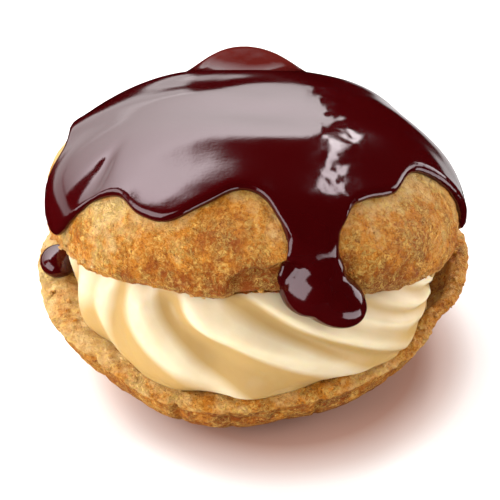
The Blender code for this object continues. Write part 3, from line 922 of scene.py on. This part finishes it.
def choux_finish(name, settings):
    """Baked choux: pale, golden or brown by its marked tone, which holds painted light and shade as well,
    with pale flakes, crackle lines and small pits darkened with painted shade, and pale grain specks that are
    partly painted highlights.
    """
    finish = Finish(name)
    light, gold = tuple(settings.choux_pale_and_lit), tuple(settings.choux_gold)
    brown, flake = tuple(settings.choux_brown_and_shade), tuple(settings.choux_flake_and_highlight)
    blotches = finish.noise(BLOTCH_SIZE, 3, 0.6) - 0.5
    mottle = finish.noise(MOTTLE_SIZE, 4, 0.65) - 0.5
    # Painted light and shade come in with the marked tone: paler where the bun is lit, darker where it is
    # shaded
    baking = finish.attribute("baking") + blotches * 1.5 + mottle * 1.2
    grain = finish.noise(GRAIN_SIZE, 5, 0.75, 0.5)
    scales = finish.noise(SCALE_SIZE, 5, 0.65, 0.8)
    patches = finish.noise(PATCH_SIZE, 3, 0.6)
    crackle = finish.ramp(scales, CRACKS) * finish.ramp(patches, CRACKED)
    pitted = finish.ramp(finish.noise(PITTED_SIZE, 3, 0.6), PITTED)
    pits = finish.ramp(finish.cells(PIT_SIZE), PITS) * pitted
    sparse = finish.ramp(patches, SPARSE) * (1.2 - baking * 0.5)

    colour = finish.blend(finish.ramp(baking, GOLDEN), light, gold)
    colour = finish.blend(finish.ramp(baking, BROWNED), colour, brown)
    colour = finish.blend(finish.ramp(scales, PALE_SCALES), colour, flake)
    # Partly painted shade: darker in the low grain
    colour = finish.blend(finish.ramp(grain, DARK_GRAIN_AND_SHADE) * (baking * 1.5 + 0.05), colour, brown)
    # Painted shade: darker in the small pits
    colour = finish.blend(pits * 0.8, colour, brown)
    colour = finish.blend(crackle * sparse * 0.9, colour, flake)
    # Partly painted highlight: pale specks on the high grain
    colour = finish.blend(finish.ramp(grain, PALE_GRAIN_AND_HIGHLIGHT) * sparse, colour, flake)
    height = grain * 0.45 + scales * 0.9 + crackle * 0.2 - pits * 0.45
    finish.set(base_color=colour, roughness=0.45, specular_ior_level=0.22,
               normal=finish.bump(height, CRUST_BUMP))
    return finish.material


def cream_finish(name, settings):
    """Custard cream: smooth, soft and slightly moist, with painted shade deepening its grooves and its foot.
    """
    finish = Finish(name)
    pale, deep = tuple(settings.cream_pale), tuple(settings.cream_deep_and_shade)
    streaks = finish.ramp(finish.noise(STREAK_SIZE, 2, 0.5), STREAKS)
    # Painted shade: the deep tone laid into the grooves and towards the foot
    colour = finish.blend(finish.ramp(finish.attribute("hollow"), GROOVE_SHADE), pale, deep)
    colour = finish.blend(streaks * STREAK_TONE, colour, deep)
    finish.set(base_color=colour, roughness=0.38,
               normal=finish.bump(finish.noise(CREAM_GRAIN, 3, 0.5), CREAM_BUMP))
    finish.set(subsurface_weight=0.5, subsurface_radius=(1.0, 0.6, 0.25), subsurface_scale=CREAM_GLOW)
    return finish.material


def chocolate_finish(name, settings):
    """Poured chocolate: dark and glossy, rippled in one place, thin and dull over the lobe at the back."""
    finish = Finish(name)
    across = finish.part(finish.place, "X") * (1 / RIPPLE_REACH)
    upright = finish.part(finish.place, "Z") * (1 / RIPPLE_REACH)
    rippled = finish.ramp(across, RIPPLES_ACROSS) * finish.ramp(upright, RIPPLES_UPRIGHT)
    ripples = (finish.noise(RIPPLE_SIZE, 1, 0.5, 0.2) - 0.5) * rippled
    flow, grain = finish.noise(FLOW_SIZE, 2, 0.4), finish.noise(SET_GRAIN, 3, 0.6)
    height = flow * 0.25 + ripples * 0.37 + grain * 0.012
    finish.set(base_color=tuple(settings.chocolate), roughness=0.1, specular_tint=(1.0, 0.87, 0.93),
               normal=finish.bump(height, CHOCOLATE_BUMP))

    away = finish.distance(finish.place, DULL_PLACE)
    dull = finish.ramp(away * (1 / DULL_REACH), DULL_FADE)
    dull = dull * finish.ramp(finish.noise(DULL_MOTTLE_SIZE, 3, 0.6), DULL_MOTTLE)
    thin = {"Base Color": tuple(settings.thin_chocolate), "Roughness": 0.6, "Specular IOR Level": 0.0}
    thin = finish.node("ShaderNodeBsdfPrincipled", {}, thin)
    glossy = Value(finish, finish.shader.outputs[0])
    both = finish.node("ShaderNodeMixShader", {}, {0: dull, 1: glossy, 2: thin})
    finish.feed(finish.tree.nodes["Material Output"].inputs["Surface"], both)
    return finish.material


def settings_of(context):
    return context.scene.cream_puff


class BunSettings(bpy.types.PropertyGroup):
    """Sizes and colours of the bun."""

    crust_relief: bpy.props.FloatProperty(
        name="Crust relief", description="Height of the crags in the baked skin",
        default=0.35 * MM, unit="LENGTH")
    torn_relief: bpy.props.FloatProperty(
        name="Torn relief", description="Height of the crumbs where the bun was cut open",
        default=0.7 * MM, unit="LENGTH")
    crumbs: bpy.props.IntProperty(
        name="Crumbs", description="Number of crumbs on the rim and the lid's lip", default=70)
    # Also painted light: the paler tone of the lit left of the lid and base
    choux_pale_and_lit: bpy.props.FloatVectorProperty(
        name="Choux light", description="Palest tone of the baked dough",
        default=(0.96, 0.63, 0.26), subtype="COLOR")
    choux_gold: bpy.props.FloatVectorProperty(
        name="Choux gold", description="Middle tone of the baked dough",
        default=(0.745, 0.257, 0.016), subtype="COLOR")
    # Also painted shade: the darker tone towards the lid's lower edge, in its broken recess and in the base's
    # pits
    choux_brown_and_shade: bpy.props.FloatVectorProperty(
        name="Choux brown", description="Darkest tone of the baked dough",
        default=(0.36, 0.075, 0.003), subtype="COLOR")
    # Also painted highlight: the pale specks on the high grain
    choux_flake_and_highlight: bpy.props.FloatVectorProperty(
        name="Choux flake", description="Tone of the pale flakes and grains on the baked skin",
        default=(0.98, 0.64, 0.16), subtype="COLOR")
    cream_pale: bpy.props.FloatVectorProperty(
        name="Cream pale", description="Palest tone of the custard cream",
        default=(0.745, 0.64, 0.435), subtype="COLOR")
    # Also painted shade in the cream's grooves and towards its foot
    cream_deep_and_shade: bpy.props.FloatVectorProperty(
        name="Cream deep", description="Deepest tone of the custard cream",
        default=(0.52, 0.33, 0.115), subtype="COLOR")
    thin_chocolate: bpy.props.FloatVectorProperty(
        name="Thin chocolate", description="Colour of the glaze where it lies thin and dull",
        default=(0.08, 0.009, 0.007), subtype="COLOR")
    chocolate: bpy.props.FloatVectorProperty(
        name="Chocolate", description="Colour of the glaze",
        default=(0.038, 0.0006, 0.0011), subtype="COLOR")


class StageSettings(bpy.types.PropertyGroup):
    """Floor and lights."""

    floor_size: bpy.props.FloatProperty(
        name="Floor size", description="Side of the square floor", default=3.0, unit="LENGTH")
    floor_colour: bpy.props.FloatVectorProperty(
        name="Floor colour", description="Colour of the plain floor",
        default=(0.97, 0.97, 0.97), subtype="COLOR")
    # Painted shadow: the warm darker colour laid on the floor close round the bun
    painted_shade_colour: bpy.props.FloatVectorProperty(
        name="Painted shade colour", description="Colour of the floor close round the bun, warm from its light",
        default=(0.55, 0.335, 0.265), subtype="COLOR")
    floor_lift: bpy.props.FloatProperty(
        name="Floor lift", description="Even brightness added to the floor away from the bun", default=0.17)
    soft_box_power: bpy.props.FloatProperty(
        name="Soft box power", description="Power of the large soft box", default=29.5, unit="POWER")
    slit_power: bpy.props.FloatProperty(
        name="Slit power", description="Power of the narrow light at the back right",
        default=1.35, unit="POWER")
    left_panel_power: bpy.props.FloatProperty(
        name="Left panel power", description="Power of the panel at the left",
        default=7.2, unit="POWER")
    right_panel_power: bpy.props.FloatProperty(
        name="Right panel power", description="Power of the panel at the right",
        default=3.0, unit="POWER")
    right_fill_power: bpy.props.FloatProperty(
        name="Right fill power", description="Power of the fill panel at the front right",
        default=1.9, unit="POWER")
    low_card_power: bpy.props.FloatProperty(
        name="Low card power", description="Power of the low card at the back left",
        default=1.35, unit="POWER")
    right_card_power: bpy.props.FloatProperty(
        name="Right card power", description="Power of the low card at the back right",
        default=0.16, unit="POWER")
    front_card_power: bpy.props.FloatProperty(
        name="Front card power", description="Power of the low card at the front right",
        default=5.0, unit="POWER")
    fill: bpy.props.FloatProperty(
        name="Fill", description="Strength of the even light from all round", default=0.53)
    fill_colour: bpy.props.FloatVectorProperty(
        name="Fill colour", description="Colour of the even light from all round",
        default=(1.0, 0.94, 0.92), subtype="COLOR")


class CREAMPUFF_OT_base(bpy.types.Operator):
    """Bakes the lower half of the bun, with its torn rim"""

    bl_idname = "creampuff.base"
    bl_label = "Base"

    def execute(self, context):
        settings = settings_of(context)
        base = rolled("bun_base", BASE_COLUMNS, BASE)
        # Marks the base's tone, with painted light on its lit left, painted shade in its pits, and darker
        # towards its foot
        mark(base, "baking", base_baking_and_painted_light)
        bake(base, settings, BASE_CRAGS, BASE_FINE)
        level_foot(base)
        roughen(base, settings, BASE_TORN_GRAIN, BASE_TORN, base_tear)
        finish_piece(base, "choux_base", choux_finish("base_choux", settings))
        return {"FINISHED"}


class CREAMPUFF_OT_cream(bpy.types.Operator):
    """Pipes the cream between the halves"""

    bl_idname = "creampuff.cream"
    bl_label = "Cream"

    def execute(self, context):
        settings = settings_of(context)
        cream = rolled("piped_cream", CREAM_COLUMNS, CREAM)
        # Marks painted shade in the cream's grooves and towards its foot
        mark(cream, "hollow", cream_painted_shade)
        finish_piece(cream, "custard_cream", cream_finish("custard_cream_finish", settings))
        return {"FINISHED"}


class CREAMPUFF_OT_lid(bpy.types.Operator):
    """Bakes the upper half of the bun"""

    bl_idname = "creampuff.lid"
    bl_label = "Lid"

    def execute(self, context):
        settings = settings_of(context)
        lid = rolled("bun_lid", LID_COLUMNS, LID)
        # Marks the lid's tone, with painted light on its lit left and painted shade towards its lower edge
        # and in its broken recess
        mark(lid, "baking", lid_baking_and_painted_light)
        bake(lid, settings, LID_CRAGS, LID_FINE)
        roughen(lid, settings, LID_TORN_GRAIN, LID_TORN, lid_tear)
        finish_piece(lid, "choux_lid", choux_finish("lid_choux", settings))
        return {"FINISHED"}


class CREAMPUFF_OT_glaze(bpy.types.Operator):
    """Pours the chocolate over the lid"""

    bl_idname = "creampuff.glaze"
    bl_label = "Glaze"

    def execute(self, context):
        settings = settings_of(context)
        parts = [rolled("tongue", TONGUE_COLUMNS, TONGUE)]
        for bulb in BULBS:
            stretch = (BULB_ROWS, lambda azimuth, share: egg(azimuth, share, *bulb))
            parts.append(rolled("bulb", BULB_COLUMNS, (stretch,)))
        rolled("poured_glaze", GLAZE_COLUMNS, GLAZE)
        for part in parts:
            part.select_set(True)
        bpy.ops.object.join()
        glaze = bpy.context.object
        modify(glaze, "REMESH", mode="VOXEL", voxel_size=GLAZE_VOXEL, use_smooth_shade=True)
        modify(glaze, "SMOOTH", factor=0.5, iterations=GLAZE_SMOOTHING)
        finish_piece(glaze, "chocolate_glaze", chocolate_finish("glaze_chocolate", settings))
        return {"FINISHED"}


class CREAMPUFF_OT_crumbs(bpy.types.Operator):
    """Scatters crumbs over the torn rim of the base and along the lip of the lid"""

    bl_idname = "creampuff.crumbs"
    bl_label = "Crumbs"

    def execute(self, context):
        settings = settings_of(context)
        draw = np.random.default_rng(CRUMB_SEED)
        bpy.ops.object.select_all(action="DESELECT")
        crumbs = []
        for number in range(settings.crumbs):
            azimuth = np.radians([draw.uniform(*CRUMB_AZIMUTHS)])
            if number % CRUMBS_ON_LID:
                place = base_rim(azimuth, draw.uniform(*CRUMBS_ACROSS_RIM))
            else:
                place = lid_surface(azimuth, np.radians([draw.uniform(*CRUMBS_DOWN_LIP)]))
            size = draw.uniform(*CRUMB_SIZES) * draw.uniform(*CRUMB_SHAPES, size=3)
            bpy.ops.mesh.primitive_ico_sphere_add(subdivisions=3, radius=1, location=place[0] + AXIS,
                                                  rotation=draw.uniform(0, TURN, size=3), scale=size)
            crumbs.append(context.object)
        for crumb in crumbs:
            crumb.select_set(True)
        bpy.ops.object.join()
        bpy.ops.object.transform_apply(location=True, rotation=True, scale=True)
        bpy.ops.object.shade_smooth()
        joined = context.object
        joined.name = "crumbs"
        relief(joined, CRUMB_GRAIN, settings.torn_relief, CRUST_DETAIL)
        tone = joined.data.attributes.new("baking", "FLOAT", "POINT")
        tone.data.foreach_set("value", np.full(len(joined.data.vertices), CRUMB_BAKING))
        joined.data.materials.append(choux_finish("crumb_choux", settings))
        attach(joined, "root")
        return {"FINISHED"}


class CREAMPUFF_OT_drop(bpy.types.Operator):
    """Lets a drop of chocolate fall on the rim"""

    bl_idname = "creampuff.drop"
    bl_label = "Drop"

    def execute(self, context):
        settings = settings_of(context)
        drop = rolled("fallen_drop", DROP_COLUMNS, DROP)
        finish_piece(drop, "chocolate_drop", chocolate_finish("drop_chocolate", settings))
        return {"FINISHED"}


def towards(azimuth, elevation):
    """Direction from the bun, with both angles in degrees."""
    azimuth, elevation = math.radians(azimuth), math.radians(elevation)
    flat = math.cos(elevation)
    return Vector((math.cos(azimuth) * flat, math.sin(azimuth) * flat, math.sin(elevation)))


def lay_floor(stage):
    """A plain pale floor, lit a little from within away from the bun, with a painted warm shadow round the
    bun's foot.
    """
    bpy.ops.mesh.primitive_plane_add(size=stage.floor_size)
    floor = bpy.context.object
    floor.name = "floor"
    paper = Finish("floor_paper")
    # Painted shadow: close round the bun the floor turns to the warm darker colour, and its light from within
    # is held off there
    near = paper.ramp(paper.distance(paper.place, PAINTED_SHADE_PLACE) * (1 / PAINTED_SHADE_REACH), PAINTED_SHADE_FADE)
    paper.set(base_color=paper.blend(near, tuple(stage.floor_colour), tuple(stage.painted_shade_colour)),
              roughness=0.9, specular_ior_level=0.1,
              emission_color=paper.blend(near, (1.0, 1.0, 1.0), (0.0, 0.0, 0.0)),
              emission_strength=stage.floor_lift)
    floor.data.materials.append(paper.material)
    floor.visible_glossy = False


def panel(name, azimuth, elevation, lean, turn, size, power):
    """Lights the bun with a rectangle that leans and is turned in its own plane."""
    facing = towards(azimuth, lean).to_track_quat("Z", "Y") @ Quaternion((0, 0, 1), math.radians(turn))
    place = Vector((0, 0, CAMERA_TARGET[2])) + towards(azimuth, elevation) * PANEL_DISTANCE
    bpy.ops.object.light_add(type="AREA", location=place, rotation=facing.to_euler())
    light = bpy.context.object
    light.name = name
    light.data.shape = "RECTANGLE"
    light.data.size, light.data.size_y = size
    light.data.energy = power
    return light


def shade(light):
    """Dims a panel towards its foot and cuts off one of its upper corners."""
    light.data.use_nodes = True
    glow = Nodes(light.data.node_tree)
    place = glow.node("ShaderNodeNewGeometry", {}, {}, "Parametric")
    across, upwards = glow.part(place, "X"), glow.part(place, "Y")
    corner = ((1 - across) * CORNER_CUT + upwards) * (1 / (1 + CORNER_CUT))
    strength = (upwards * DIMMING + (1 - DIMMING)) * glow.ramp(corner, CORNER_EDGE)
    glow.feed(glow.tree.nodes["Emission"].inputs["Strength"], strength)


def light_up(stage):
    """Sets the panels round the bun and an even light from all round."""
    panels = {name: panel(name, *place, getattr(stage, f"{name}_power")) for name, place in PANELS.items()}
    shade(panels["soft_box"])
    panels["right_fill"].visible_glossy = False

    world = bpy.data.worlds.new("studio")
    bpy.context.scene.world = world
    world.use_nodes = True
    background = world.node_tree.nodes["Background"]
    background.inputs["Color"].default_value = (*stage.fill_colour, 1)
    background.inputs["Strength"].default_value = stage.fill
    world.cycles_visibility.glossy = False


def set_camera():
    """Looks down at the bun from the front."""
    reach = (0, -math.cos(CAMERA_ELEVATION), math.sin(CAMERA_ELEVATION))
    place = [middle + CAMERA_DISTANCE * part for middle, part in zip(CAMERA_TARGET, reach)]
    bpy.ops.object.camera_add(location=place, rotation=(RIGHT_ANGLE - CAMERA_ELEVATION, 0, 0))
    camera = bpy.context.object
    camera.data.lens = CAMERA_LENS
    camera.data.sensor_width = SENSOR
    camera.data.clip_start = CAMERA_CLIP
    bpy.context.scene.camera = camera
    bpy.context.scene.view_settings.view_transform = "Standard"


class CREAMPUFF_OT_stage(bpy.types.Operator):
    """Sets the floor, the soft light and the camera"""

    bl_idname = "creampuff.stage"
    bl_label = "Stage"

    def execute(self, context):
        stage = context.scene.cream_puff_stage
        bpy.ops.object.select_all(action="DESELECT")
        lay_floor(stage)
        light_up(stage)
        set_camera()
        return {"FINISHED"}


OPERATORS = (CREAMPUFF_OT_base, CREAMPUFF_OT_cream, CREAMPUFF_OT_lid, CREAMPUFF_OT_glaze, CREAMPUFF_OT_drop,
             CREAMPUFF_OT_crumbs, CREAMPUFF_OT_stage)


class CREAMPUFF_PT_sidebar(bpy.types.Panel):
    """Lists the steps and the settings in the sidebar"""

    bl_idname = "CREAMPUFF_PT_sidebar"
    bl_label = "Cream Puff"
    bl_space_type = "VIEW_3D"
    bl_region_type = "UI"
    bl_category = "Cream Puff"

    def draw(self, context):
        for group in (context.scene.cream_puff, context.scene.cream_puff_stage):
            for name in group.__annotations__:
                self.layout.prop(group, name)
        for operator in OPERATORS:
            self.layout.operator(operator.bl_idname)


CLASSES = (BunSettings, StageSettings, *OPERATORS, CREAMPUFF_PT_sidebar)


def register():
    for kind in CLASSES:
        bpy.utils.register_class(kind)
    bpy.types.Scene.cream_puff = bpy.props.PointerProperty(type=BunSettings)
    bpy.types.Scene.cream_puff_stage = bpy.props.PointerProperty(type=StageSettings)


def unregister():
    del bpy.types.Scene.cream_puff_stage
    del bpy.types.Scene.cream_puff
    for kind in reversed(CLASSES):
        bpy.utils.unregister_class(kind)


def main():
    register()
    for operator in OPERATORS:
        group, name = operator.bl_idname.split(".")
        getattr(getattr(bpy.ops, group), name)()


if __name__ == "__main__":
    main()
